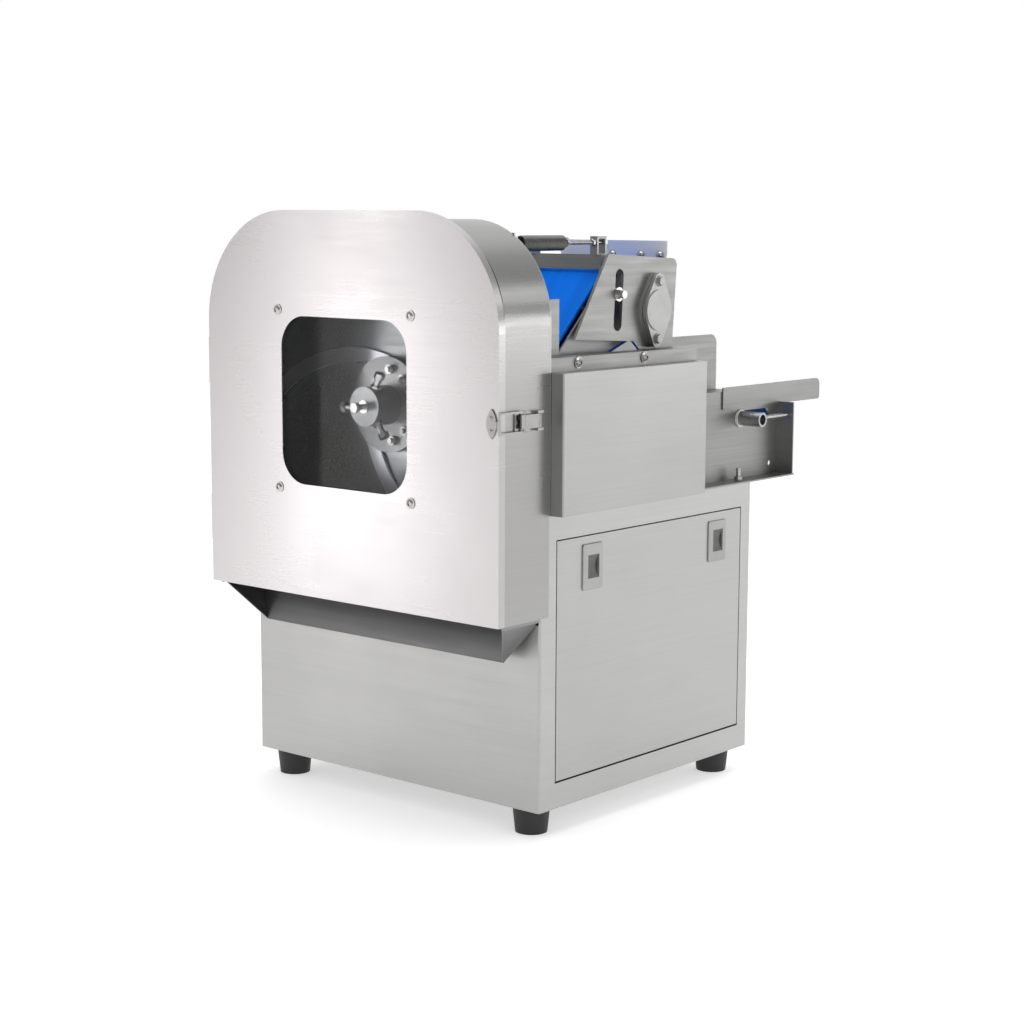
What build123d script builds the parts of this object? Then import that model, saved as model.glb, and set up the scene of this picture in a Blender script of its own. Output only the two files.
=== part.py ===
"""Bench-top vegetable cutting machine: belt-fed drum cutter on a sheet-metal cabinet. Millimetres, +Z up, front towards -Y."""

import math
import os

from build123d import *

# Overall frame
CAB_W = 480.0  # cabinet width
CAB_D = 430.0  # cabinet depth
CAB_Z0, CAB_Z1 = 33.0, 387.0  # cabinet bottom and top
SHEET = 2.0  # cabinet sheet
SHIFT_Y = -277.7  # puts the middle of the overall box on the origin
# Drum housing and door
BAND_X = 241.6  # half width of the housing band
BAND_Z0, BAND_Z1 = 267.5, 728.5
BAND_R = 120.0
DOOR_X = 242.5
DOOR_Z1 = 738.3
DOOR_R = 137.0
DOOR_Y0, DOOR_Y1 = -76.8, -65.8
WIN = (-110.0, 100.5, 405.9, 611.2)
WIN_R = 39.0
# Cutter
CUT_X, CUT_Z = -4.5, 503.0
SHAFT_R = 12.5
FLANGE_R = 59.0
HUB_R = 24.3
PCD_R = 45.0
# Conveyor
WEB_X = 212.0
FAR_X = 39.0
HEAD = (40.0, 468.5)
TAIL = (444.5, 468.5)
ROLL_R = 16.45
BELT_T = 3.0
FLOOR_Z = 486.0
# Press
MID_X = 125.5
PIV = (246.5, 617.5)
NOSE = (91.4, 548.9)
TOP = (205.0, 664.0)
PIV_R, NOSE_R, TOP_R = 33.0, 20.0, 18.0
SPRING_X, SPRING_Z = 178.0, 700.5
# Drive
DRIVE = (204.0, 300.0)
JACK = (260.0, 300.0)
GEAR_M, GEAR_N = 2.0, 28
SPR_R = 17.3
MOTOR_X, MOTOR_Z = -60.0, 180.0
FIT = 0.05
PIVOT_R = 1.6  # rounded lower edge the access panel rocks on

os.makedirs("parts", exist_ok=True)
NODES = {}


def bx(x0, x1, y0, y1, z0, z1):
    return Pos((x0 + x1) / 2, (y0 + y1) / 2, (z0 + z1) / 2) * Box(
        abs(x1 - x0), abs(y1 - y0), abs(z1 - z0)
    )


def cx(y, z, r, x0, x1):
    return Pos((x0 + x1) / 2, y, z) * Rot(0, 90, 0) * Cylinder(r, abs(x1 - x0))


def cy(x, z, r, y0, y1):
    return Pos(x, (y0 + y1) / 2, z) * Rot(90, 0, 0) * Cylinder(r, abs(y1 - y0))


def cz(x, y, r, z0, z1):
    return Pos(x, y, (z0 + z1) / 2) * Cylinder(r, abs(z1 - z0))


def yz_plane(x):
    return Plane(origin=(x, 0, 0), x_dir=(0, 1, 0), z_dir=(1, 0, 0))


def xz_plane(y):
    return Plane(origin=(0, y, 0), x_dir=(1, 0, 0), z_dir=(0, -1, 0))


def ext_x(face, x0, x1):
    return extrude(yz_plane(x0) * face, amount=x1 - x0, dir=(1, 0, 0))


def ext_y(face, y0, y1):
    return extrude(xz_plane(y0) * face, amount=y1 - y0, dir=(0, 1, 0))


def ext_z(face, z0, z1):
    return extrude(Plane.XY.offset(z0) * face, amount=z1 - z0, dir=(0, 0, 1))


def poly(points):
    edges = [
        Line(points[i], points[(i + 1) % len(points)]) for i in range(len(points))
    ]
    return make_face(Wire(edges))


def loop(circles):
    """Face bounded by a band round the circles (x, y, r), given anticlockwise."""
    n = len(circles)
    ends = []
    for i in range(n):
        (x1, y1, r1), (x2, y2, r2) = circles[i], circles[(i + 1) % n]
        dx, dy = x2 - x1, y2 - y1
        length = math.hypot(dx, dy)
        k = (r1 - r2) / length
        s = math.sqrt(1 - k * k)
        nx, ny = dx / length * k + dy / length * s, dy / length * k - dx / length * s
        ends.append(((x1 + r1 * nx, y1 + r1 * ny), (x2 + r2 * nx, y2 + r2 * ny)))
    edges = []
    for i in range(n):
        a, b = ends[i]
        edges.append(Line(a, b))
        c = ends[(i + 1) % n][0]
        x, y, r = circles[(i + 1) % n]
        t0 = math.atan2(b[1] - y, b[0] - x)
        t1 = math.atan2(c[1] - y, c[0] - x)
        while t1 < t0:
            t1 += 2 * math.pi
        tm = (t0 + t1) / 2
        edges.append(ThreePointArc(b, (x + r * math.cos(tm), y + r * math.sin(tm)), c))
    return make_face(Wire(edges))


def dome_shape(half, z0, z1, r):
    """Upright outline with two round top corners."""
    a = math.sqrt(0.5) * r
    pts = [
        Line((-half, z0), (half, z0)),
        Line((half, z0), (half, z1 - r)),
        ThreePointArc((half, z1 - r), (half - r + a, z1 - r + a), (half - r, z1)),
        Line((half - r, z1), (-half + r, z1)),
        ThreePointArc((-half + r, z1), (-half + r - a, z1 - r + a), (-half, z1 - r)),
        Line((-half, z1 - r), (-half, z0)),
    ]
    return make_face(Wire(pts))


def gear(n, m, phase, bore):
    """Spur gear outline with straight flanks; phase in degrees of the first tooth."""
    rp, ra, rf = n * m / 2, n * m / 2 + 0.8 * m, n * m / 2 - 1.1 * m
    step = 360 / n
    pts = []
    for i in range(n):
        c = phase + i * step
        for frac, r in ((-0.36, rf), (-0.235, rp), (-0.11, ra), (0.11, ra), (0.235, rp), (0.36, rf)):
            t = math.radians(c + frac * step)
            pts.append((r * math.cos(t), r * math.sin(t)))
    return poly(pts) - Circle(bore)


def hexy(x, z, af, y0, y1, rot=0):
    return ext_y(Pos(x, z) * Rot(0, 0, rot) * RegularPolygon(af / math.sqrt(3), 6), y0, y1)


def hexx(y, z, af, x0, x1, rot=0):
    return ext_x(Pos(y, z) * Rot(0, 0, rot) * RegularPolygon(af / math.sqrt(3), 6), x0, x1)


def domex(y, z, r, h, x0):
    """Dome head standing on a face at x0 towards +X."""
    big = (r * r + h * h) / (2 * h)
    cap = (Pos(0, 0, h - big) * Sphere(big)) & (Pos(0, 0, (h + 1) / 2) * Cylinder(r, h + 1))
    return Pos(x0, y, z) * Rot(0, 90, 0) * cap


def domey(x, z, r, h, y0):
    """Dome head standing on a face at y0 towards -Y."""
    big = (r * r + h * h) / (2 * h)
    ball = Pos(x, y0 - h + big, z) * Sphere(big)
    return ball & cy(x, z, r, y0 - h - 1, y0)


def put(name, shape):
    NODES[name] = shape


# ---------------------------------------------------------------- cabinet
HW = CAB_W / 2
shell = bx(-HW, HW, 0, CAB_D, CAB_Z0, CAB_Z1)
front_edges = shell.edges().filter_by(Axis.Z).group_by(Axis.Y)[0]
shell = fillet(front_edges, 3)
shell -= bx(-HW + SHEET, HW - SHEET, SHEET, CAB_D + 1, CAB_Z0 - 1, CAB_Z1 + 1)
shell -= bx(HW - 3, HW + 1, 29.5, 410, 64, 357)
shell -= bx(-HW - 1, -HW + 3, 75.2, 164.8, 230.2, 329.8)
shell -= bx(-HW + SHEET, HW - SHEET, -1, SHEET + 0.5, 259, CAB_Z1 + 1)
ledge = bx(-238, 238, 18, 427, 383, 385) - bx(-222, 222, 34, 411, 382, 386)
ledge += bx(-238, 238, 2, 427, 33, 35) - bx(-215, 215, 25, 405, 32, 36)
for s in (-1, 1):
    ledge += bx(s * 218, s * 238, 425.9, 427.9, 35, 383)
shell += ledge
shell -= bx(215, 234, 78, 162, 380, 386)
put("cabinet_shell", shell)

base = bx(-237.8, 237.8, 2.2, 427.8, 35.1, 37.1)
for s in (-1, 1):
    base -= bx(s * 217, s * 238, 424, 428, 35, 38)
    for y in (120, 300):
        base -= cz(s * 120, y, 15, 35, 38)
put("base_plate", base)

deck = bx(-237.8, 237.8, 18, 427.8, 385.1, 387)
deck -= bx(-72, 22, 93, 121, 384, 388)
deck -= bx(217, 232, 80, 160, 384, 388)
deck -= bx(10, 26, 226, 294, 384, 388)
near_hang = bx(209, 213, 150, 290, 262, 385.1)
far_hang = bx(28, 32, 235, 285, 270, 385.1)
near_hang -= cx(*DRIVE, 8 + FIT, 208, 214)
near_hang -= cx(*JACK, 8 + FIT, 208, 214)
far_hang -= cx(*JACK, 8 + FIT, 27, 33)
put("top_deck", deck + near_hang + far_hang)

rear = bx(-237.8, 237.8, 428.1, 430, 35.2, 386.8)
for i in range(7):
    rear -= bx(40, 200, 427, 431, 240 + i * 16, 246 + i * 16)
rear -= cy(-180, 90, 8.3, 427, 431)
put("rear_panel", rear)

feet = None
for x in (-205, 205):
    for y in (28, 402):
        f = Pos(x, y, CAB_Z0 / 2) * Cone(19.5, 23, CAB_Z0)
        feet = f if feet is None else feet + f
put("rubber_feet", feet)

gland = cy(-180, 90, 8.1, 414, 430.15)
gland += cy(-180, 90, 13, 430.1, 433)
gland += hexy(-180, 90, 22, 433, 439)
gland += cy(-180, 90, 9.5, 439, 447)
gland += cy(-180, 90, 12, 418, 427.9)
gland -= cy(-180, 90, 4.5, 413, 448)
put("cable_gland", gland)

# ---------------------------------------------------------------- drum housing
band = ext_y(dome_shape(BAND_X, BAND_Z0, BAND_Z1, BAND_R), -65.5, 13.9)
band -= ext_y(dome_shape(BAND_X - 1.5, BAND_Z0 - 5, BAND_Z1 - 1.5, BAND_R - 1.5), -67, 15)
put("housing_shell", band)

back = ext_y(dome_shape(BAND_X, CAB_Z1 + 0.3, BAND_Z1, BAND_R), 14, 16)
back += bx(-237.7, 237.7, 14, 16, 266, CAB_Z1 + 0.3)
back -= bx(52, 200, 13, 17, 488, 575)
back -= cy(CUT_X, CUT_Z, 26, 13, 17)
for x in (SPRING_X, 2 * MID_X - SPRING_X):
    back += bx(x - 7, x + 7, 16, 18, 688, 713)
    back += bx(x - 1.5, x + 1.5, 18, 29, 694, 708) - cx(24, SPRING_Z, 2.8, x - 2, x + 2)
put("housing_back_plate", back)

# Discharge chute: steep slide and two leaning sides
slope = (292.0 - 214.0) / 35.0
nrm = Vector(0, -slope, 1).normalized()


def plate3(points, vec):
    """Plate from planar corner points, thickened by vec."""
    wire = Wire([Line(points[i], points[(i + 1) % len(points)]) for i in range(len(points))])
    return extrude(Face(wire), amount=vec.length, dir=vec.normalized())


y_in = 0.6
slide = plate3(
    [
        (-236.8, 12.3, 214 + 34.3 * slope),
        (236.8, 12.3, 214 + 34.3 * slope),
        (236.8, y_in, 214 + (y_in + 22) * slope),
        (202, -22, 214),
        (-202, -22, 214),
        (-236.8, y_in, 214 + (y_in + 22) * slope),
    ],
    nrm * -1.5,
)
chute = slide
for s in (-1, 1):
    a = Vector(s * 238.6, -65, 268)
    b = Vector(s * 236.8, y_in, 214 + (y_in + 22) * slope)
    c = Vector(s * 202, -22, 214)
    nn = (b - a).cross(c - a).normalized()
    if nn.X * s > 0:
        nn = nn * -1
    chute += plate3([a, b, c], nn * 1.5)
    chute += bx(s * 236.5, s * 239.9, -65, -1, 263.5, 284)
put("discharge_chute", chute)

# ---------------------------------------------------------------- door and hinges
HX, HY = -246.6, -66.0
HINGES = ((320.0, 380.0), (520.0, 580.0))
hf = None
for z0, z1 in HINGES:
    h = cz(HX, HY, 3.6, z0, z0 + 18) + cz(HX, HY, 3.6, z1 - 18, z1)
    h += bx(-248, -241.75, -64.4, -60.5, z0, z0 + 18)
    h += bx(-248, -241.75, -64.4, -60.5, z1 - 18, z1)
    h += bx(-243.3, -241.75, -62, -38, z0, z1) + cz(HX, HY, 1.75, z0, z1)
    for z in (z0 + 10, z1 - 10):
        h += Pos(-243.3, -47, z) * Rot(0, -90, 0) * Cone(3.2, 2.0, 1.4, align=(Align.CENTER, Align.CENTER, Align.MIN))
    h -= bx(-249, -241.75, -64.0, -60, z0 + 18.2, z1 - 18.2)
    hf = h if hf is None else hf + h
put("hinge_leaves", hf)

door = ext_y(dome_shape(DOOR_X, BAND_Z0, DOOR_Z1, DOOR_R), DOOR_Y0, DOOR_Y1)
door -= ext_y(dome_shape(DOOR_X - 1.5, BAND_Z0 + 1.5, DOOR_Z1 - 1.5, DOOR_R - 1.5), DOOR_Y0 + 1.5, DOOR_Y1 + 1)
wx, wz = (WIN[0] + WIN[1]) / 2, (WIN[2] + WIN[3]) / 2
opening = Pos(wx, wz) * RectangleRounded(WIN[1] - WIN[0], WIN[3] - WIN[2], WIN_R)
door -= ext_y(opening, DOOR_Y0 - 1, DOOR_Y0 + 3)
WIN_SCREWS = [(x, z) for x in (-116.0, 106.5) for z in (399.2, 617.7)]
for x, z in WIN_SCREWS:
    door -= cy(x, z, 2.6, DOOR_Y0 - 1, DOOR_Y0 + 3)
for z0, z1 in HINGES:
    door += cz(HX, HY, 3.6, z0 + 18.4, z1 - 18.4)
    door += bx(-248, DOOR_X * -1 + 0.4, -71, -67.6, z0 + 18.4, z1 - 18.4)
    door += bx(-244, DOOR_X * -1 + 0.4, -76.4, -70.2, z0 + 1, z1 - 1)
    door -= cz(HX, HY, 1.85, z0, z1)
put("door_panel", door)

pane = Pos(wx, wz) * RectangleRounded(240, 236, 24)
pane = ext_y(pane, -75.2, -71.2)
for x, z in WIN_SCREWS:
    pane -= cy(x, z, 2.7, -76, -70)
put("window_pane", pane)

screws = None
for x, z in WIN_SCREWS:
    s = cy(x, z, 6.8, DOOR_Y0 - 1.0, DOOR_Y0 - 0.02) + domey(x, z, 5.3, 2.4, DOOR_Y0 - 0.95) + cy(x, z, 2.4, DOOR_Y0 - 0.5, -66.8)
    s -= hexy(x, z, 5.4, DOOR_Y0 - 6, DOOR_Y0 - 1.6)
    s += hexy(x, z, 8, -71.15, -67)
    screws = s if screws is None else screws + s
put("window_screws", screws)

catch = ext_y(
    make_face(
        Wire(
            [
                ThreePointArc((232.5, 518), (225.2, 501), (232.5, 484)),
                ThreePointArc((232.5, 484), (239.8, 501), (232.5, 518)),
            ]
        )
    ),
    -78.4,
    -76.85,
)
for z in (508.2, 493.2):
    catch += domey(232.8, z, 2.6, 1.6, -78.4)
catch += bx(236.5, 242.3, -80.6, -78.3, 497, 504.4)
put("catch_plate", catch)

# ---------------------------------------------------------------- toggle latch
LX, LY = 246.5, -11.0
BX_, BY_ = 246.4, -38.0
lbase = bx(241.7, 243.2, -50, -4, 490, 513)
for z0, z1 in ((490, 493), (510, 513)):
    lbase += bx(243.2, 249, -16, -6, z0, z1)
lbase += cz(LX, LY, 1.5, 490, 513)
for y in (-46, -30):
    lbase += cx(y, 501.5, 2.2, 243.0, 244.0)
put("latch_base", lbase)

lever = bx(246.2, 248.4, -44, -11, 493.6, 509.4) + cz(LX, LY, 2.9, 493.6, 509.4)
lever += cz(BX_, BY_, 1.5, 488.6, 514.4) + cz(BX_, BY_, 2.2, 493.6, 509.4)
lever -= cz(LX, LY, 1.56, 493, 510)
put("latch_lever", lever)

bail = None
for z0, z1 in ((488.8, 491.3), (511.7, 514.2)):
    b = bx(244.6, 248, -80.6, -36, z0, z1) + cz(BX_, BY_, 2.6, z0, z1)
    bail = b if bail is None else bail + b
bail += bx(244.6, 248, -80.6, -78.8, 488.8, 514.2)
bail += bx(242.7, 245, -80.6, -78.8, 497, 504.4)
bail -= cz(BX_, BY_, 1.56, 488, 515)
put("latch_bail", bail)

# ---------------------------------------------------------------- access panel
PY0, PY1, PZ0, PZ1 = 31.0, 408.5, 65.5, 355.5
panel = bx(230, HW, PY0, PY1, PZ0, PZ1)
lower_edge = panel.edges().filter_by(Axis.Y).group_by(Axis.Z)[0].sort_by(Axis.X)[-1]
panel = fillet(lower_edge, PIVOT_R)
panel -= bx(229, HW - 1.5, PY0 + 1.5, PY1 - 1.5, PZ0 + 1.5, PZ1 - 1.5)
PB = ((98.0, 318.0), (356.0, 319.0))
for y, z in PB:
    panel -= bx(237, 241, y - 10.7, y + 10.7, z - 14.2, z + 14.2)
put("access_panel", panel)

bez = None
for (y, z), (y0, y1, z0, z1) in zip(PB, ((78, 116, 290, 346), (336, 374, 292, 345))):
    f = Pos((y0 + y1) / 2, (z0 + z1) / 2) * RectangleRounded(y1 - y0, z1 - z0, 3)
    b = ext_x(f, 240.05, 241.9)
    b = chamfer(b.faces().sort_by(Axis.X)[-1].edges(), 0.6)
    b -= bx(239, 243, y - 10.6, y + 10.6, z - 14.1, z + 14.1)
    bez = b if bez is None else bez + b
put("panel_latch_plates", bez)
for name, (y, z) in zip(("panel_button_front", "panel_button_rear"), PB):
    b = bx(235.5, 241.3, y - 10.5, y + 10.5, z - 14, z + 14)
    b -= cy(241.3 + 27.5, z, 29.8, y - 8.5, y + 8.5)
    b += bx(235.5, 238.4, y - 13, y + 13, z - 16.5, z + 16.5)
    put(name, b)

# ---------------------------------------------------------------- side frame and cover
side = bx(238, 240, 16.5, 305, 389.2, 570) + bx(218, 239, 16.5, 305, 568, 570)
side -= cx(*HEAD, 12, 237, 241)
for y, z in ((67, 563.2), (195, 563)):
    side -= cx(y, z, 3.2, 237, 241)
put("side_plate", side)

bolts = None
for y, z in ((67.0, 563.2), (195.0, 563.0)):
    b = cx(y, z, 6.7, 240.02, 241.35) + domex(y, z, 5.7, 4.2, 241.3) + cx(y, z, 3, 230, 242) + hexx(y, z, 9, 232, 237.9)
    b -= hexx(y, z, 3.4, 243.4, 247)
    bolts = b if bolts is None else bolts + b
for x in (125.0, 170.0, 199.7):
    bolts += domey(x, 684, 5.2, 3.6, 278.2) + cy(x, 684, 5.8, 278.1, 278.98) + cy(x, 684, 3, 277, 290) + hexy(x, 684, 10, 281.05, 286)
bolts += cz(226, 423, 3, 387.2, 405) + ext_z(Pos(226, 423) * RegularPolygon(6.1, 6), 389.05, 394.2)
put("cover_bolts", bolts)

cover = bx(240.05, 260, 16.6, 301, 387.3, 553.6)
cover = fillet(cover.edges().filter_by(Axis.Z).group_by(Axis.X)[-1], 2)
cover -= bx(239, 258.5, 18.1, 299.5, 388.8, 552.1)
put("side_cover", cover)

# ---------------------------------------------------------------- conveyor
walls = bx(210, WEB_X, 16.5, 535, 387.1, 483)
walls += bx(211, 240, 16.5, 535, 387.1, 389)
walls += bx(211, 238, 533, 535, 388, 483) + bx(214.3, 238, 533, 535, 482, 485)
walls -= bx(217, 232, 80, 160, 386, 390)
walls -= cx(*HEAD, 8.06, 209, 213)
slot = Pos(473.9, 468.5) * SlotOverall(78, 19)
walls -= ext_x(slot, 209, 213)
walls += bx(210, WEB_X, 301.5, 404, 482.9, 506)
walls -= cy(230, 468.5, 3.2, 532, 536) + cx(516.8, 402.6, 3.4, 209, 213)
walls -= cz(226, 423, 3.1, 386, 390)
far = bx(37, FAR_X, 16.5, 535, 387.1, 564.5)
ext = bx(37, FAR_X, 534, 636, 484, 564.5)
ext = fillet(ext.edges().filter_by(Axis.X).group_by(Axis.Y)[-1].sort_by(Axis.Z)[-1], 14)
far += ext
far += bx(38, 60, 16.5, 535, 387.1, 389)
far -= cx(*HEAD, 8.06, 36, 40)
far -= ext_x(Pos(448.5, 468.5) * SlotOverall(30, 19), 36, 40)
put("conveyor_walls", walls + far)

bed = bx(50.5, 200.5, 64, 420, 482, 484.8)
for y in (104, 384):
    bed += bx(39.1, 209.9, y, y + 12, 469, 482.1)
bed = bed
put("slider_bed", bed)

belt = ext_x(loop([(*TAIL, ROLL_R + BELT_T + 0.05), (*HEAD, ROLL_R + BELT_T + 0.05)][::-1]), 48, 203)
belt -= ext_x(loop([(*HEAD, ROLL_R + 0.05), (*TAIL, ROLL_R + 0.05)]), 47, 204)
put("conveyor_belt", belt)

tray = bx(39.1, 213.5, 473.5, 635, FLOOR_Z - 1.5, FLOOR_Z)
strip = bx(212.1, 214.1, 402.5, 635, 482.5, 511.2)
strip = fillet(strip.edges().filter_by(Axis.X).group_by(Axis.Y)[-1].sort_by(Axis.Z)[-1], 9)
strip = fillet(strip.edges().filter_by(Axis.X).group_by(Axis.Y)[-1].sort_by(Axis.Z)[0], 4)
tray += strip
tray += bx(39.5, 210.5, 535.1, 536.6, 446, 485)
put("feed_tray", tray)

cheeks = bx(210, 212, 16.5, 66, 483.1, 636) + bx(39.1, 41.1, 16.5, 66, 483.1, 636)
for x0, x1 in ((198.5, 210.1), (41, 52.5)):
    cheeks += bx(x0, x1, 16.5, 18, 590, 636)
put("mouth_cheeks", cheeks)

head = cx(*HEAD, ROLL_R, 50, 201) + cx(*HEAD, 8, 36.8, 236.5) + cx(*HEAD, SPR_R, 222, 227)
head += cx(*HEAD, 11, 218, 231)
put("head_roller", head)
tail = cx(*TAIL, ROLL_R, 50, 201) - cx(*TAIL, 6 + FIT, 49, 202)
put("tail_roller", tail)
take = cx(*TAIL, 6, 26, 213) + cx(*TAIL, 9.4, 209.9, 212.2) + cx(*TAIL, 11.5, 212.1, 214.5)
take += cx(*TAIL, 9.6, 214.4, 248.2) - cx(*TAIL, 6.7, 234, 249)
take += cx(*TAIL, 9.4, 36.8, 39.1) + cx(*TAIL, 11.5, 30, 36.9)
take += cy(230, 468.5, 2.8, 448, 542) + hexy(230, 468.5, 9, 535.15, 540)
put("take_up_slide", take)

# ---------------------------------------------------------------- press plates
TL = (159.7, 687.3)
plate = poly(
    [
        (95.9, 586.8),
        (209.4, 580.5),
        (223.9, 568.8),
        (223.9, 483.2),
        (290.5, 483.2),
        (290.5, 572.0),
        (299.0, 679.9),
        TL,
    ]
)
plates = None
plate_slot = Pos(179.8, 631.5) * Rot(0, 0, 90 - 3.2) * SlotOverall(75.0, 15.8)
tilt = math.radians(-3.1)
PB1 = (PIV[0] + 1.9, PIV[1] + 35.4)
PB2 = (PIV[0] - 1.9, PIV[1] - 35.4)
for x0 in (208.0, 39.1):
    p = ext_x(plate, x0, x0 + 4)
    e = p.edges().filter_by(Axis.X).sort_by(lambda q: -(q.center().Y + q.center().Z))[0]
    p = fillet(e, 9)
    p -= ext_x(plate_slot, x0 - 1, x0 + 5)
    p -= cx(*PIV, 15, x0 - 1, x0 + 5)
    plates = p if plates is None else plates + p
put("press_plates", plates)

bearing = None
for x0, s in ((212.05, 1), (38.95, -1)):
    k = None
    for inset, d0, d1 in ((0.0, 0.0, 5.4), (1.6, 5.3, 6.4), (0.4, 6.3, 11.0)):
        f = loop([(PIV[0], PIV[1], 27.0 - inset), (*PB1, 10.5 - inset)])
        f += loop([(PIV[0], PIV[1], 27.0 - inset), (*PB2, 10.5 - inset)])
        layer = ext_x(f, *sorted((x0 + s * d0, x0 + s * d1)))
        k = layer if k is None else k + layer
    k += cx(*PIV, 25.0, *sorted((x0 + s * 10.9, x0 + s * 12.4)))
    for y, z in (PB1, PB2):
        k += hexx(y, z, 10, *sorted((x0 + s * 10.9, x0 + s * 15.4)), rot=20)
        k += cx(y, z, 7.2, *sorted((x0 + s * 10.9, x0 + s * 11.9)))
    if s > 0:
        k -= cx(*PIV, 10.05, x0 - 1, x0 + 11)
    else:
        k -= cx(*PIV, 10.05, 20, 40)
    bearing = k if bearing is None else bearing + k
put("press_bearings", bearing)

guard = bx(43.2, 207.8, 279, 281, 656, 702) + bx(40, 210.5, 279, 281, 683.6, 702)
for x in (125.0, 170.0, 199.7):
    guard -= cy(x, 684, 3.2, 278, 282)
for x0, x1 in ((43.2, 45.2), (205.8, 207.8)):
    guard += bx(x0, x1, 281, 293, 656, 679)
put("rear_guard", guard)

# ---------------------------------------------------------------- press frame (swings)
arm = loop([(*PIV, 27), (*TOP, 12), (*NOSE, 14)])
pf = None
for x0 in (187.0, 61.0):
    a = ext_x(arm, x0, x0 + 3) + bx(x0, x0 + 3, 172, 192, 640, 686)
    a -= cx(*PIV, 10 + FIT, x0 - 1, x0 + 4)
    pf = a if pf is None else pf + a
pf += cx(*NOSE, 6, 61, 190) + cx(*TOP, 6, 61, 190)
pf += bx(63.5, 187.5, 178.5, 181.5, 668, 686)
for xc in (SPRING_X, 2 * MID_X - SPRING_X):
    lug = bx(xc - 5.5, xc + 5.5, 173, 191.5, 685, 708) - bx(xc - 6, xc + 6, 176, 188.5, 684, 705)
    pf += lug + bx(xc - 5.5, xc + 5.5, 173, 191.5, 685, 687)
    pf -= cy(xc, SPRING_Z, 2.9, 169, 199)
for y, z in (NOSE, TOP):
    pf += hexx(y, z, 10, 190, 194) + hexx(y, z, 10, 57, 61)
put("press_frame", pf)

pb = ext_x(loop([(*PIV, PIV_R), (*TOP, TOP_R), (*NOSE, NOSE_R)]), 66.5, 184.5)
pb -= ext_x(loop([(*PIV, PIV_R - 3), (*TOP, TOP_R - 3), (*NOSE, NOSE_R - 3)]), 66, 185)
put("press_belt", pb)

rr = cx(*PIV, PIV_R - 3 - FIT, 68, 183) + cx(*PIV, 10, 14, 221) + cx(*PIV, 24.2, 16, 21)
put("press_rear_roller", rr)
put("press_nose_roller", cx(*NOSE, NOSE_R - 3 - FIT, 68, 183) - cx(*NOSE, 6 + FIT, 67, 184))
put("press_top_roller", cx(*TOP, TOP_R - 3 - FIT, 68, 183) - cx(*TOP, 6 + FIT, 67, 184))

gb = None
GB = (179.0, 638.5)
for s in (1, -1):
    xs = [MID_X + s * (v - MID_X) for v in (190.05, 207.6, 212.3, 213.6, 217.6, 222.0)]
    a = cx(*GB, 7, *sorted(xs[:2])) + cx(*GB, 4, *sorted((xs[0], xs[5])))
    a += cx(*GB, 4.9, *sorted((xs[4] - 0.1, xs[5])))
    a += cx(*GB, 8.6, *sorted(xs[2:4])) + hexx(*GB, 11, *sorted(xs[3:5]))
    gb = a if gb is None else gb + a
put("guide_bolts", gb)

springs = None
for x in (SPRING_X, 2 * MID_X - SPRING_X):
    s = cy(x, SPRING_Z, 9.75, 34, 114) - cy(x, SPRING_Z, 7.2, 33, 115)
    s += cy(x, SPRING_Z, 9.75, 34, 36) + cy(x, SPRING_Z, 9.75, 112, 114)
    s += cy(x, SPRING_Z, 2.5, 112, 197) + hexy(x, SPRING_Z, 8, 191.6, 195.4) + cy(x, SPRING_Z, 2.5, 30, 36)
    springs = s if springs is None else springs + s
put("tension_springs", springs)

# ---------------------------------------------------------------- cutter
hub = cy(CUT_X, CUT_Z, HUB_R, -40, -1) + cy(CUT_X, CUT_Z, FLANGE_R, -1, 8.9)
hub -= cy(CUT_X, CUT_Z, SHAFT_R + 0.02, -36.2, 10)
SET_Y = -30.5
radials = None
for a in (185, 65, -55):
    turn = Pos(CUT_X, SET_Y, CUT_Z) * Rot(0, -a, 0)
    hub -= turn * (Pos((SHAFT_R + HUB_R) / 2, 0, 0) * Rot(0, 90, 0) * Cylinder(3.05, HUB_R - SHAFT_R + 2))
    stud = Pos(26.5, 0, 0) * Rot(0, 90, 0) * Cylinder(3, 25)
    stud += Pos(34, 0, 0) * Rot(0, 90, 0) * Cylinder(3.9, 12)
    head = extrude(Plane.YZ.offset(38.5) * RegularPolygon(6.6, 6), amount=6.5)
    nut = extrude(Plane.YZ.offset(HUB_R + 0.1) * RegularPolygon(6.6, 6), amount=4)
    stud = turn * (stud + head + nut)
    radials = stud if radials is None else radials + stud
put("cutter_hub", hub)

shaft = cy(CUT_X, CUT_Z, SHAFT_R, -36, 119)
pul = cy(CUT_X, CUT_Z, 36, 98, 116) - (cy(CUT_X, CUT_Z, 40, 101, 113) - cy(CUT_X, CUT_Z, 27.95, 100, 114))
shaft += pul
put("cutter_shaft", shaft)

blades = None
BC = (CUT_X - 63.0, CUT_Z - 153.0)


def on_arc(r, deg):
    t = math.radians(deg)
    return (BC[0] + r * math.cos(t), BC[1] + r * math.sin(t))


blade_face = make_face(
    Wire(
        [
            ThreePointArc(on_arc(220, 61), on_arc(220, 95), on_arc(220, 130.5)),
            Line(on_arc(220, 130.5), on_arc(201, 130.5)),
            ThreePointArc(on_arc(201, 130.5), on_arc(201, 95), on_arc(201, 61)),
            Line(on_arc(201, 61), on_arc(220, 61)),
        ]
    )
)
blade = ext_y(blade_face, 9, 12)
for k in range(3):
    b = Pos(CUT_X, 0, CUT_Z) * Rot(0, 120 * k, 0) * Pos(-CUT_X, 0, -CUT_Z) * blade
    b -= cy(CUT_X, CUT_Z, SHAFT_R + 1, 8, 13)
    blades = b if blades is None else blades + b
put("cutter_blades", blades)

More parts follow.
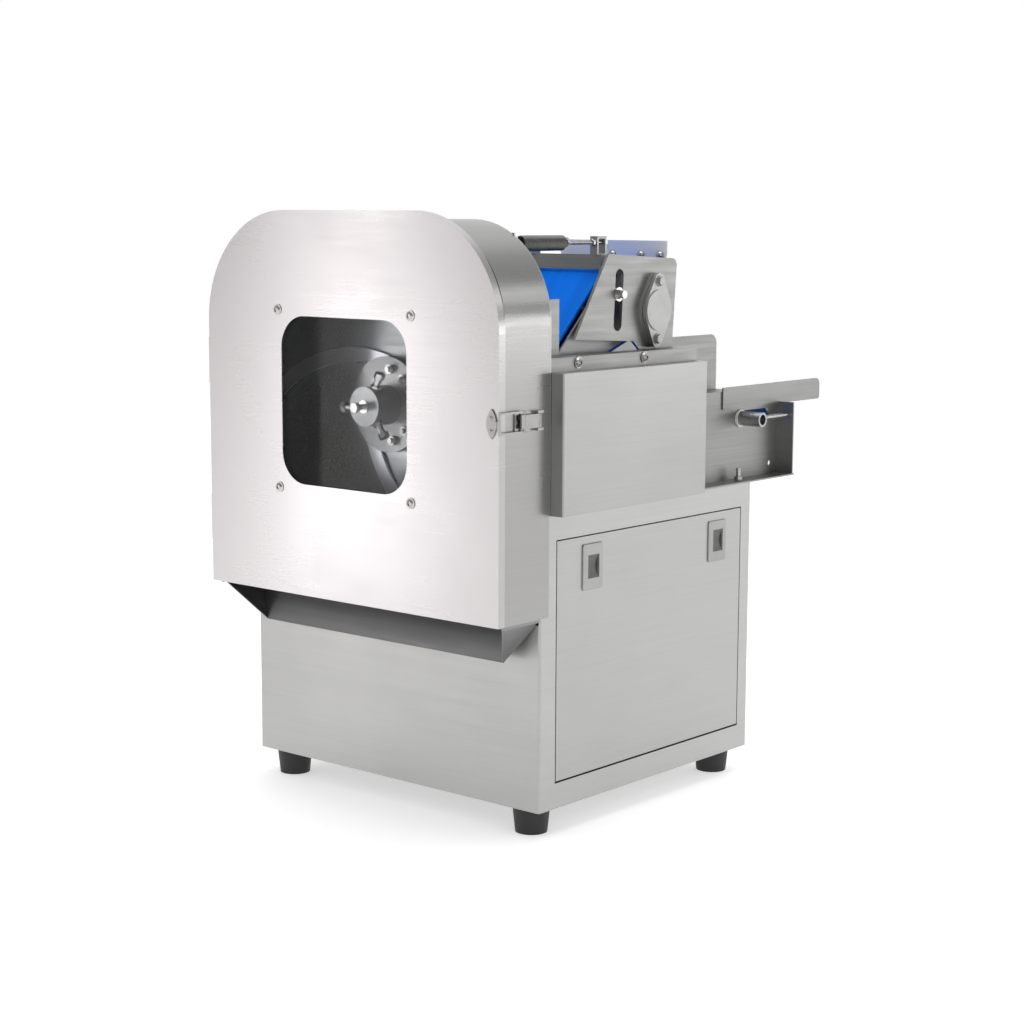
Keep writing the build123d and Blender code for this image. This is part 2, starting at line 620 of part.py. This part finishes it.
cb = None
for a in (46.7, 78.6):
    for k in range(3):
        t = math.radians(a - 120 * k)
        x, z = CUT_X + PCD_R * math.cos(t), CUT_Z + PCD_R * math.sin(t)
        h = hexy(x, z, 11, -7.0, -1.05) + cy(x, z, 3.4, -10.0, -2.0)
        cb = h if cb is None else cb + h
c0 = cy(CUT_X, CUT_Z, 8, -41.6, -40.05) + cy(CUT_X, CUT_Z, 3.6, -53, -41) + hexy(CUT_X, CUT_Z, 11, -58, -51.5)
cb += c0 + radials
put("cutter_bolts", cb)

house = cy(CUT_X, CUT_Z, 30, 20, 90) + bx(-39, 30, 24, 86, 440, 500)
house += bx(-44, 34, 18.2, 92, 387.1, 441)
house -= bx(-41, 31, 17, 89, 386, 438)
house -= cy(CUT_X, CUT_Z, SHAFT_R + FIT, 19, 91)
put("cutter_bearing_housing", house)

covers = bx(-239.5, 36, 16.5, 213, 387.1, 560) - bx(-238, 34.5, 15, 211.5, 386, 558.5)
guard2 = bx(8, 23, 213.6, 294, 387.1, 654) - bx(9.5, 24, 215.1, 292.5, 386, 652.5)
put("drive_covers", covers + guard2)

motor = cy(MOTOR_X, MOTOR_Z, 62, 130, 320) + cy(MOTOR_X, MOTOR_Z, 48, 124, 131)
motor += cy(MOTOR_X, MOTOR_Z, 56, 319, 345)
motor += bx(-115, -5, 150, 300, 37.2, 49) + bx(-95, -25, 160, 290, 48, 130)
motor -= cy(MOTOR_X, MOTOR_Z, 9.5 + FIT, 123, 180)
put("cutter_motor", motor)
mp = cy(MOTOR_X, MOTOR_Z, 9.5, 94, 178)
mp += cy(MOTOR_X, MOTOR_Z, 32, 98, 116) - (cy(MOTOR_X, MOTOR_Z, 40, 101, 113) - cy(MOTOR_X, MOTOR_Z, 23.95, 100, 114))
put("motor_pulley", mp)

vb = ext_y(loop([(MOTOR_X, MOTOR_Z, 30.5), (CUT_X, CUT_Z, 34.5)]), 101.3, 112.7)
vb -= ext_y(loop([(MOTOR_X, MOTOR_Z, 24), (CUT_X, CUT_Z, 28)]), 100, 114)
put("v_belt", vb)

gm = bx(120, 190, 162, 248, 240, 360) + cx(*DRIVE, 44, 46, 121) + cx(*DRIVE, 36, 38, 47)
gm += bx(120, 208.9, 165, 245, 358, 368) + bx(204.9, 208.9, 165, 245, 340, 384.9) + bx(120, 208.9, 165, 245, 379, 384.9)
gm += bx(120, 126, 165, 245, 358, 384.9)
gm -= cx(*DRIVE, 8 + FIT, 150, 191)
put("conveyor_gearmotor", gm)

ds = cx(*DRIVE, 8, 152, 227.2) + cx(*DRIVE, SPR_R, 222, 227) + ext_x(Pos(*DRIVE) * gear(GEAR_N, GEAR_M, 0, 4), 195, 205)
put("drive_shaft", ds)
js = cx(*JACK, 8, 12, 214.5) + cx(*JACK, 13.8, 16, 21)
js += ext_x(Pos(*JACK) * gear(GEAR_N, GEAR_M, 180 + 180 / GEAR_N, 4), 195, 205)
put("jackshaft", js)

ch = ext_x(loop([(*DRIVE, 22.9), (*HEAD, 22.9)]), 222.2, 226.8)
ch -= ext_x(loop([(*DRIVE, SPR_R + 0.1), (*HEAD, SPR_R + 0.1)]), 221, 228)
ch2 = ext_x(loop([(*JACK, 19.4), (*PIV, 29.8)]), 16.2, 20.8)
ch2 -= ext_x(loop([(*JACK, 13.9), (*PIV, 24.3)]), 15, 22)
put("drive_chains", ch + ch2)

# ---------------------------------------------------------------- controls
CB = {"start_button": (95.0, 312.0), "stop_button": (145.0, 312.0)}
KNOB, ESTOP = (95.0, 250.0), (145.0, 250.0)
box = bx(-241.8, -240.05, 60, 180, 215, 345)
box += bx(-240.2, -195, 76, 164, 231, 329) - bx(-236.5, -197, 78, 162, 233, 327)
for y, z in CB.values():
    box -= cx(y, z, 8.06, -243, -230)
box -= cx(*KNOB, 4.05, -243, -230) + cx(*ESTOP, 6.05, -243, -230)
put("control_box", box)
for name, (y, z) in CB.items():
    b = cx(y, z, 8, -247, -232)
    b = fillet(b.faces().sort_by(Axis.X)[0].edges(), 1)
    b += cx(y, z, 10, -236.2, -233)
    put(name, b)
es = Pos(-251, *ESTOP) * Rot(0, -90, 0) * Cone(16, 14, 9, align=(Align.CENTER, Align.CENTER, Align.MIN))
es += cx(*ESTOP, 6, -252, -232) + cx(*ESTOP, 9, -236.2, -233)
put("emergency_stop", es)
kn = cx(*KNOB, 12, -256, -243) + cx(*KNOB, 4, -244, -230)
kn = kn + bx(-257.5, -255.5, KNOB[0] - 1.2, KNOB[0] + 1.2, KNOB[1], KNOB[1] + 11)
put("speed_knob", kn)

for name, shape in NODES.items():
    moved = Pos(0, SHIFT_Y, 0) * shape
    export_step(moved, f"parts/{name}.step")
b0 = None
for shape in NODES.values():
    bb = shape.bounding_box()
    lo, hi = bb.min, bb.max
    if b0 is None:
        b0 = [lo.X, lo.Y, lo.Z, hi.X, hi.Y, hi.Z]
    else:
        b0 = [min(b0[0], lo.X), min(b0[1], lo.Y), min(b0[2], lo.Z), max(b0[3], hi.X), max(b0[4], hi.Y), max(b0[5], hi.Z)]
print("overall", [round(v, 3) for v in b0], "nodes", len(NODES))
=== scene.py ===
import math

import bmesh
import bpy
import numpy as np
from mathutils import Matrix, Vector


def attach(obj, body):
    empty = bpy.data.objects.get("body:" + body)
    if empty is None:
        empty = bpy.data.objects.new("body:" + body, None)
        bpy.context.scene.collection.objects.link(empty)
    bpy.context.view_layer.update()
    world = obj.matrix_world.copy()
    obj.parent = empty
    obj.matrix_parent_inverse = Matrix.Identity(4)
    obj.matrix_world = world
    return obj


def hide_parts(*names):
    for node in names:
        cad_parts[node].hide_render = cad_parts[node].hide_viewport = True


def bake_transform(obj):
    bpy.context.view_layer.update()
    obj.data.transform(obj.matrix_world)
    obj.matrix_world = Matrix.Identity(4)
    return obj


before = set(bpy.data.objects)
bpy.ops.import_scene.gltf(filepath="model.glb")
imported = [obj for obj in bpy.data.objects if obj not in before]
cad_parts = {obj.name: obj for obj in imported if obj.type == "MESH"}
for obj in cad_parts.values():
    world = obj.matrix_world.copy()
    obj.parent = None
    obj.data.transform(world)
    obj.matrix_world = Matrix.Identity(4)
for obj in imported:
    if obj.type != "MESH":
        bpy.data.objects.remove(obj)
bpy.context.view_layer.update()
SY = -0.2777
NODES = sorted(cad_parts)


def P(x, y, z):
    """Millimetres in the drawing's axes to metres in the row frame."""
    return Vector((x / 1000, y / 1000 + SY, z / 1000))


# ------------------------------------------------------------------ materials
def new_mat(name):
    m = bpy.data.materials.new(name)
    m.use_nodes = True
    nt = m.node_tree
    nt.nodes.clear()
    out = nt.nodes.new("ShaderNodeOutputMaterial")
    bsdf = nt.nodes.new("ShaderNodeBsdfPrincipled")
    nt.links.new(bsdf.outputs[0], out.inputs[0])
    return m, nt, bsdf


def coords(nt, scale, kind="Object"):
    tc = nt.nodes.new("ShaderNodeTexCoord")
    mp = nt.nodes.new("ShaderNodeMapping")
    mp.inputs["Scale"].default_value = scale
    nt.links.new(tc.outputs[kind], mp.inputs[0])
    return mp.outputs[0]


def noise(nt, vec, scale, detail=4.0, rough=0.55):
    n = nt.nodes.new("ShaderNodeTexNoise")
    n.inputs["Scale"].default_value = scale
    n.inputs["Detail"].default_value = detail
    n.inputs["Roughness"].default_value = rough
    nt.links.new(vec, n.inputs["Vector"])
    return n.outputs[0]


def ramp(nt, fac, stops):
    r = nt.nodes.new("ShaderNodeValToRGB")
    el = r.color_ramp.elements
    while len(el) < len(stops):
        el.new(0.5)
    for e, (p, c) in zip(el, stops):
        e.position = p
        e.color = (c, c, c, 1) if isinstance(c, float) else (*c, 1)
    nt.links.new(fac, r.inputs[0])
    return r.outputs[0]


def maprange(nt, fac, lo, hi, a=0.3, b=0.7):
    r = nt.nodes.new("ShaderNodeMapRange")
    r.inputs["From Min"].default_value = a
    r.inputs["From Max"].default_value = b
    r.inputs["To Min"].default_value = lo
    r.inputs["To Max"].default_value = hi
    nt.links.new(fac, r.inputs[0])
    return r.outputs[0]


def bump(nt, bsdf, height, strength, dist=0.0003):
    b = nt.nodes.new("ShaderNodeBump")
    b.inputs["Strength"].default_value = strength
    b.inputs["Distance"].default_value = dist
    nt.links.new(height, b.inputs["Height"])
    nt.links.new(b.outputs[0], bsdf.inputs["Normal"])


def mixcol(nt, fac, a, b):
    m = nt.nodes.new("ShaderNodeMix")
    m.data_type = "RGBA"
    for sock, val in ((m.inputs[6], a), (m.inputs[7], b)):
        if isinstance(val, (tuple, list)):
            sock.default_value = (*val, 1)
        else:
            nt.links.new(val, sock)
    nt.links.new(fac, m.inputs[0])
    return m.outputs[2]


def steel(name, base, rough=0.34, grain=(4.0, 4.0, 900.0), strength=0.06, smudge=0.05, metallic=1.0, vary=1.0):
    """Brushed stainless sheet: fine scratches along the low-scale axes, soft smudges, roughness to match."""
    m, nt, bs = new_mat(name)
    g = noise(nt, coords(nt, grain), 1.0, 6.0, 0.7)
    g2 = noise(nt, coords(nt, (grain[0] * 3, grain[1] * 3, grain[2] * 0.35)), 1.0, 3.0, 0.6)
    s = noise(nt, coords(nt, (6, 6, 6)), 1.0, 3.0, 0.5)
    dark = tuple(c * (1 - smudge * 1.6) for c in base)
    light = tuple(min(1.0, c * (1 + smudge)) for c in base)
    c1 = mixcol(nt, maprange(nt, g, 0.0, 1.0), dark, light)
    c2 = mixcol(nt, maprange(nt, s, 0.0, 0.35, 0.35, 0.7), c1, tuple(c * 0.95 for c in base))
    nt.links.new(c2, bs.inputs["Base Color"])
    r = nt.nodes.new("ShaderNodeMath")
    r.operation = "ADD"
    nt.links.new(maprange(nt, g2, rough - 0.05 * vary, rough + 0.06 * vary), r.inputs[0])
    nt.links.new(maprange(nt, s, -0.02, 0.04), r.inputs[1])
    nt.links.new(r.outputs[0], bs.inputs["Roughness"])
    bs.inputs["Metallic"].default_value = metallic
    bump(nt, bs, g, strength, 0.0002)
    return m


def turned(name, base, rough=0.28):
    """Turned or ground steel with a finer, random scratch."""
    m, nt, bs = new_mat(name)
    g = noise(nt, coords(nt, (260, 260, 260)), 1.0, 5.0, 0.7)
    s = noise(nt, coords(nt, (14, 14, 14)), 1.0, 3.0, 0.5)
    c1 = mixcol(nt, maprange(nt, g, 0.0, 1.0), tuple(c * 0.9 for c in base), tuple(min(1, c * 1.05) for c in base))
    c2 = mixcol(nt, maprange(nt, s, 0.0, 0.5), c1, tuple(c * 0.88 for c in base))
    nt.links.new(c2, bs.inputs["Base Color"])
    nt.links.new(maprange(nt, s, rough - 0.06, rough + 0.1), bs.inputs["Roughness"])
    bs.inputs["Metallic"].default_value = 1.0
    bump(nt, bs, g, 0.05, 0.0002)
    return m


def cast(name, base, rough=0.5, metallic=0.6):
    m, nt, bs = new_mat(name)
    g = noise(nt, coords(nt, (420, 420, 420)), 1.0, 5.0, 0.6)
    s = noise(nt, coords(nt, (30, 30, 30)), 1.0, 3.0, 0.5)
    c = mixcol(nt, maprange(nt, s, 0.0, 1.0), tuple(v * 0.85 for v in base), base)
    nt.links.new(c, bs.inputs["Base Color"])
    nt.links.new(maprange(nt, g, rough - 0.08, rough + 0.1), bs.inputs["Roughness"])
    bs.inputs["Metallic"].default_value = metallic
    bump(nt, bs, g, 0.25, 0.0004)
    return m


def belt_mat(name, base):
    """Blue food-belt rubber: satin skin with a fine woven impression and scuffed streaks along its run."""
    m, nt, bs = new_mat(name)
    v = nt.nodes.new("ShaderNodeTexVoronoi")
    v.inputs["Scale"].default_value = 1.0
    nt.links.new(coords(nt, (700, 700, 700)), v.inputs["Vector"])
    s = noise(nt, coords(nt, (60, 5, 5)), 1.0, 4.0, 0.6)
    w = noise(nt, coords(nt, (25, 25, 25)), 1.0, 4.0, 0.6)
    c1 = mixcol(nt, maprange(nt, s, 0.0, 1.0), tuple(c * 0.8 for c in base), base)
    c2 = mixcol(nt, maprange(nt, w, 0.0, 0.25, 0.5, 0.75), c1, tuple(min(1, c * 1.12 + 0.004) for c in base))
    nt.links.new(c2, bs.inputs["Base Color"])
    nt.links.new(maprange(nt, w, 0.5, 0.66), bs.inputs["Roughness"])
    bs.inputs["Specular IOR Level"].default_value = 0.05
    bump(nt, bs, v.outputs["Distance"], 0.2, 0.0003)
    return m


def rubber(name, base, rough=0.6):
    m, nt, bs = new_mat(name)
    g = noise(nt, coords(nt, (500, 500, 500)), 1.0, 4.0, 0.6)
    s = noise(nt, coords(nt, (40, 40, 40)), 1.0, 4.0, 0.6)
    c = mixcol(nt, maprange(nt, s, 0.0, 0.6), base, tuple(min(1, v * 1.6 + 0.015) for v in base))
    nt.links.new(c, bs.inputs["Base Color"])
    nt.links.new(maprange(nt, s, rough - 0.1, rough + 0.12), bs.inputs["Roughness"])
    bump(nt, bs, g, 0.25, 0.0004)
    return m


def plastic(name, base, rough=0.35):
    m, nt, bs = new_mat(name)
    g = noise(nt, coords(nt, (380, 380, 380)), 1.0, 3.0, 0.5)
    s = noise(nt, coords(nt, (50, 50, 50)), 1.0, 3.0, 0.5)
    c = mixcol(nt, maprange(nt, s, 0.0, 1.0), tuple(v * 0.93 for v in base), base)
    nt.links.new(c, bs.inputs["Base Color"])
    nt.links.new(maprange(nt, s, rough - 0.05, rough + 0.08), bs.inputs["Roughness"])
    bump(nt, bs, g, 0.08, 0.0002)
    return m


def clear_pane(name):
    m, nt, bs = new_mat(name)
    s = noise(nt, coords(nt, (12, 12, 12)), 1.0, 3.0, 0.5)
    nt.links.new(mixcol(nt, maprange(nt, s, 0.0, 1.0), (0.93, 0.95, 0.96), (0.97, 0.98, 0.99)), bs.inputs["Base Color"])
    bs.inputs["Transmission Weight"].default_value = 1.0
    bs.inputs["IOR"].default_value = 1.13
    nt.links.new(maprange(nt, s, 0.01, 0.04), bs.inputs["Roughness"])
    return m


mat = {
    "door": steel("door_steel", (0.55, 0.534, 0.537), 0.27, (3.0, 3.0, 800.0), 0.003, 0.015, 1.0, 0.25),
    "band": steel("band_steel", (0.35, 0.347, 0.343), 0.28, (3.0, 3.0, 500.0), 0.008, 0.03, 1.0, 0.5),
    "cabinet": steel("cabinet_steel", (0.46, 0.46, 0.452), 0.40, (3.0, 3.0, 700.0), 0.02, 0.03, 1.0, 0.6),
    "panel": steel("panel_steel", (0.415, 0.415, 0.408), 0.42, (3.0, 3.0, 700.0), 0.02, 0.025, 1.0, 0.6),
    "access": steel("access_panel_steel", (0.44, 0.44, 0.433), 0.42, (3.0, 3.0, 700.0), 0.02, 0.025, 1.0, 0.6),
    "plate": steel("plate_steel", (0.30, 0.30, 0.292), 0.40, (4.0, 4.0, 500.0), 0.05, 0.05),
    "web": steel("wall_steel", (0.295, 0.295, 0.289), 0.42, (4.0, 4.0, 500.0), 0.05, 0.06),
    # painted light: the guard's base is lifted near white and tinted faintly warm, making up for its shade and the blue
    # bounce off the belt
    "guard": steel("guard_steel", (0.84, 0.84, 0.825), 0.58, (4.0, 4.0, 500.0), 0.03, 0.04, 0.2),
    # painted shade: the press frame's base, darker than the cabinet steel, stands in for the shade on its lugs
    "frame": steel("frame_steel", (0.39, 0.39, 0.385), 0.42, (4.0, 4.0, 400.0), 0.05, 0.06),
    # painted shade: this dark base on the chute, base plate and top deck stands in for the shade inside and under the
    # housing
    "inner": steel("inner_steel", (0.27, 0.27, 0.27), 0.42, (4.0, 4.0, 300.0), 0.02, 0.05),
    "drum": steel("drum_steel", (0.43, 0.44, 0.44), 0.36, (4.0, 4.0, 300.0), 0.003, 0.05),
    "turned": turned("turned_steel", (0.42, 0.42, 0.42), 0.26),
    # painted highlight: the blade's bright, faintly lavender base stands in for the light reflected off the blades
    "blade": turned("blade_steel", (0.82, 0.82, 0.85), 0.3),
    "bolt": turned("bolt_steel", (0.50, 0.49, 0.48), 0.26),
    "latch": turned("latch_steel", (0.38, 0.375, 0.37), 0.28),
    "hub": turned("hub_steel", (0.33, 0.33, 0.327), 0.36),
    "latchplate": turned("latch_plate_steel", (0.39, 0.39, 0.382), 0.38),
    "spring": turned("spring_steel", (0.17, 0.17, 0.165), 0.36),
    "cast": cast("bearing_cast", (0.42, 0.42, 0.41), 0.42, 0.85),
    "motor": cast("motor_paint", (0.16, 0.19, 0.22), 0.45, 0.1),
    "belt": belt_mat("blue_belt", (0.001, 0.20, 0.98)),
    "black": rubber("black_rubber", (0.012, 0.012, 0.012), 0.55),
    "plastic_black": plastic("black_plastic", (0.02, 0.02, 0.02), 0.35),
    "plastic_grey": plastic("grey_plastic", (0.10, 0.10, 0.10), 0.4),
    "plastic_white": plastic("white_plastic", (0.78, 0.78, 0.76), 0.35),
    "green": plastic("green_plastic", (0.02, 0.3, 0.06), 0.28),
    "red": plastic("red_plastic", (0.55, 0.015, 0.012), 0.28),
    "glass": clear_pane("clear_pane"),
}


def paint_shade_on_plus_x(m, k):
    """Painted shade: the turned-in edges that face +X get their base colour darkened towards k, standing in for the
    shade on that side.
    """
    nt = m.node_tree
    bs = next(n for n in nt.nodes if n.type == "BSDF_PRINCIPLED")
    src = bs.inputs["Base Color"].links[0].from_socket
    tc = nt.nodes.new("ShaderNodeTexCoord")
    sep = nt.nodes.new("ShaderNodeSeparateXYZ")
    nt.links.new(tc.outputs["Normal"], sep.inputs[0])
    nt.links.new(mixcol(nt, maprange(nt, sep.outputs[0], 0.0, 1.0, 0.5, 0.9), src, k), bs.inputs["Base Color"])


# painted shade on the door's +X side return
paint_shade_on_plus_x(mat["door"], (0.43, 0.425, 0.42))
USE = {
    "door_panel": "door",
    "housing_shell": "band",
    "cabinet_shell": "cabinet",
    "access_panel": "access",
    "side_cover": "panel",
    "side_plate": "plate",
    "press_plates": "plate",
    "conveyor_walls": "web",
    "feed_tray": "web",
    "rear_guard": "guard",
    "mouth_cheeks": "plate",
    "press_frame": "frame",
    "housing_back_plate": "drum",
    "discharge_chute": "inner",
    "base_plate": "inner",
    "top_deck": "inner",
    "slider_bed": "plastic_white",
    "panel_button_front": "plastic_grey",
    "panel_button_rear": "plastic_grey",
    "panel_latch_plates": "latchplate",
    "window_pane": "glass",
    "conveyor_belt": "belt",
    "press_belt": "belt",
    "rubber_feet": "black",
    "v_belt": "black",
    "cable_gland": "plastic_black",
    "speed_knob": "plastic_black",
    "start_button": "green",
    "stop_button": "red",
    "emergency_stop": "red",
    "cutter_motor": "motor",
    "conveyor_gearmotor": "motor",
    "press_bearings": "cast",
    "cutter_bearing_housing": "cast",
    "cutter_blades": "blade",
    "drive_covers": "panel",
    "rear_panel": "cabinet",
    "control_box": "panel",
}
for n in ("window_screws", "cover_bolts", "cutter_bolts", "guide_bolts", "catch_plate", "latch_lever", "latch_bail", "latch_base", "hinge_leaves"):
    USE[n] = "bolt"
for n in ("catch_plate", "latch_lever", "latch_bail", "latch_base"):
    USE[n] = "latch"
USE["cutter_hub"] = "hub"
for n in NODES:
    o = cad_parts[n]
    o.data.materials.clear()
    o.data.materials.append(mat[USE.get(n, "turned")])


# ------------------------------------------------------------------ mesh helpers
def obj_from(name, verts, faces, material, body, smooth=True):
    me = bpy.data.meshes.new(name)
    me.from_pydata([tuple(v) for v in verts], [], faces)
    me.update()
    me.materials.append(material)
    if smooth:
        for p in me.polygons:
            p.use_smooth = True
    o = bpy.data.objects.new(name, me)
    bpy.context.scene.collection.objects.link(o)
    if body:
        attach(o, body)
    return o


def sweep(path, radius, sides=12):
    """Closed tube round a list of points."""
    pts = [Vector(p) for p in path]
    verts, faces = [], []
    up = None
    for i, p in enumerate(pts):
        t = (pts[min(i + 1, len(pts) - 1)] - pts[max(i - 1, 0)]).normalized()
        if up is None:
            up = Vector((0, 0, 1)) if abs(t.z) < 0.9 else Vector((1, 0, 0))
        side = t.cross(up).normalized()
        up = side.cross(t).normalized()
        for k in range(sides):
            a = 2 * math.pi * k / sides
            verts.append(p + side * math.cos(a) * radius + up * math.sin(a) * radius)
    n = len(pts)
    for i in range(n - 1):
        for k in range(sides):
            a, b = i * sides + k, i * sides + (k + 1) % sides
            faces.append((a, b, b + sides, a + sides))
    faces.append(tuple(range(sides))[::-1])
    faces.append(tuple((n - 1) * sides + k for k in range(sides)))
    return verts, faces


# ------------------------------------------------------------------ tension springs
SPX, SPZ = 178.0, 700.5
for tag, x in (("near", SPX), ("far", 251.0 - SPX)):
    wire, rr = 1.1, 8.3
    path = []
    # front eye through the anchor tab
    for i in range(15):
        a = math.radians(200 - i * 24)
        path.append(P(x, 27.5 + 4.6 * math.cos(a), SPZ + 4.6 * math.sin(a)))
    y0, y1, turns = 34.5, 112.0, 30
    path.append(P(x, 33.2, SPZ - 2.0))
    n = turns * 14
    for i in range(n + 1):
        a = 2 * math.pi * i / 14 - math.pi / 2
        path.append(P(x + rr * math.cos(a), y0 + (y1 - y0) * i / n, SPZ + rr * math.sin(a)))
    path.append(P(x, 114.5, SPZ - 3.5))
    for i in range(12):
        a = math.radians(210 + i * 25)
        path.append(P(x, 119.2 + 4.2 * math.cos(a), SPZ + 4.2 * math.sin(a)))
    v, f = sweep(path, wire / 1000, 8)
    s = obj_from("spring_coil_" + tag, v, f, mat["spring"], None)
    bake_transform(s)
    # threaded rod with a hooked front end
    rod = [P(x + 0.0, 119.5 + 4.6 * math.cos(a), SPZ + 4.6 * math.sin(a)) for a in (2.6, 2.0, 1.4, 0.8, 0.3)]
    rod += [P(x, 124.6, SPZ + 0.2), P(x, 128, SPZ)]
    rod += [P(x, 128 + i * 3.0, SPZ) for i in range(1, 24)]
    v, f = sweep(rod, 2.4 / 1000, 12)
    r = obj_from("spring_rod_" + tag, v, f, mat["turned"], "press_swing_frame")
    # nuts either side of the lug
    for y0, y1 in ((168.6, 172.8), (191.6, 195.4)):
        bm = bmesh.new()
        rings = []
        for y, k in ((y0, 0.9), (y0 + 0.6, 1.0), (y1 - 0.6, 1.0), (y1, 0.9)):
            rings.append([bm.verts.new(P(x + 4.75 * k * math.cos(math.radians(60 * q + 30)), y, SPZ + 4.75 * k * math.sin(math.radians(60 * q + 30)))) for q in range(6)])
        for a, b in zip(rings, rings[1:]):
            for q in range(6):
                bm.faces.new((a[q], a[(q + 1) % 6], b[(q + 1) % 6], b[q]))
        bm.faces.new(rings[0][::-1])
        bm.faces.new(rings[-1])
        bmesh.ops.recalc_face_normals(bm, faces=bm.faces)
        me = bpy.data.meshes.new("spring_nut_%s_%d" % (tag, int(y0)))
        bm.to_mesh(me)
        bm.free()
        me.materials.append(mat["bolt"])
        nut = bpy.data.objects.new(me.name, me)
        bpy.context.scene.collection.objects.link(nut)
        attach(nut, "press_swing_frame")
    if tag == "near":
        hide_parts("tension_springs")

# ------------------------------------------------------------------ nylon washers of the belt take-up
TAIL_Y, TAIL_Z = 444.5, 468.5
for tag, x0, x1 in (("near", 212.0, 214.7), ("far", 34.2, 36.95)):
    prof = [(9.75, x0), (10.8, x0), (11.65, x0 + 0.7), (11.65, x1 - 0.7), (10.8, x1), (9.75, x1)]
    n, m = 48, len(prof)
    verts = [P(x, TAIL_Y + r * math.cos(2 * math.pi * i / n), TAIL_Z + r * math.sin(2 * math.pi * i / n)) for i in range(n) for r, x in prof]
    faces = [(i * m + k, i * m + (k + 1) % m, ((i + 1) % n) * m + (k + 1) % m, ((i + 1) % n) * m + k) for i in range(n) for k in range(m)]
    w = obj_from("take_up_washer_" + tag, verts, faces, mat["plastic_white"], "take_up", smooth=False)

# ------------------------------------------------------------------ floor, lights, camera
floor_me = bpy.data.meshes.new("floor")
floor_me.from_pydata([(-30, -30, 0), (30, -30, 0), (30, 30, 0), (-30, 30, 0)], [], [(0, 1, 2, 3)])
floor = bpy.data.objects.new("floor", floor_me)
bpy.context.scene.collection.objects.link(floor)
fm, nt, bs = new_mat("floor_pale")
bs.inputs["Base Color"].default_value = (0.9, 0.9, 0.9, 1)
bs.inputs["Roughness"].default_value = 0.8
bs.inputs["Emission Color"].default_value = (1, 1, 1, 1)
bs.inputs["Emission Strength"].default_value = 0.48
floor_me.materials.append(fm)

world = bpy.data.worlds.new("studio")
bpy.context.scene.world = world
world.use_nodes = True
wt = world.node_tree
bg = wt.nodes["Background"]
tc = wt.nodes.new("ShaderNodeTexCoord")
sep = wt.nodes.new("ShaderNodeSeparateXYZ")
wt.links.new(tc.outputs["Generated"], sep.inputs[0])
at = wt.nodes.new("ShaderNodeMath")
at.operation = "ARCTAN2"
wt.links.new(sep.outputs[1], at.inputs[0])
wt.links.new(sep.outputs[0], at.inputs[1])
mr = wt.nodes.new("ShaderNodeMapRange")
mr.inputs["From Min"].default_value = -math.pi
mr.inputs["From Max"].default_value = math.pi
wt.links.new(at.outputs[0], mr.inputs[0])
# studio walls by direction: 0 = -X, 0.25 = -Y, 0.5 = +X, 0.75 = +Y
sky = ramp(wt, mr.outputs[0], [(0.0, 0.62), (0.08, 0.42), (0.18, 0.30), (0.32, 0.28), (0.5, 0.34), (0.62, 0.46), (0.72, 0.62), (0.79, 1.0), (0.93, 1.0)])
wt.links.new(sky, bg.inputs[0])
bg.inputs[1].default_value = 1.0


def area(name, loc, target, sx, sy, power, color=(1, 1, 1)):
    li = bpy.data.lights.new(name, "AREA")
    li.shape = "RECTANGLE"
    li.size, li.size_y = sx, sy
    li.energy = power
    li.color = color
    o = bpy.data.objects.new(name, li)
    bpy.context.scene.collection.objects.link(o)
    o.location = loc
    o.rotation_euler = (Vector(target) - Vector(loc)).to_track_quat("-Z", "Y").to_euler()
    o.visible_camera = False
    return o


area("strip_front_left", (-0.96, -1.35, 0.45), (0.02, -0.35, 0.45), 0.16, 1.5, 2.3, (1.0, 0.955, 0.967))
area("top_soft", (0.2, -0.2, 2.6), (0, 0, 0.3), 2.2, 2.2, 30)
area("right_rear_low", (2.4, 2.5, 0.62), (0.24, -0.3, 0.6), 2.4, 0.34, 9)
area("right_rear_high", (2.4, 2.3, 1.9), (0.2, 0, 0.4), 1.2, 0.8, 4)
area("fill_front_right", (2.2, -1.6, 1.4), (0, 0, 0.4), 1.2, 1.2, 5)

C = (1751.486, -1818.877, 736.079)
AZ, EL, ROLL, F = math.radians(40.524), math.radians(8.24), math.radians(0.21), 2067.602
right = Vector((math.cos(AZ), math.sin(AZ), 0))
backv = Vector((math.sin(AZ) * math.cos(EL), -math.cos(AZ) * math.cos(EL), math.sin(EL)))
up = backv.cross(right)
r2 = right * math.cos(ROLL) + up * math.sin(ROLL)
u2 = up * math.cos(ROLL) - right * math.sin(ROLL)
cam_data = bpy.data.cameras.new("camera")
cam = bpy.data.objects.new("camera", cam_data)
bpy.context.scene.collection.objects.link(cam)
m3 = Matrix((r2, u2, backv)).transposed()
cam.matrix_world = Matrix.Translation(P(*C)) @ m3.to_4x4()
cam_data.sensor_width = 36.0
cam_data.lens = F / 1024 * 36.0
cam_data.clip_end = 100
bpy.context.scene.camera = cam
bpy.context.scene.view_settings.view_transform = "Standard"
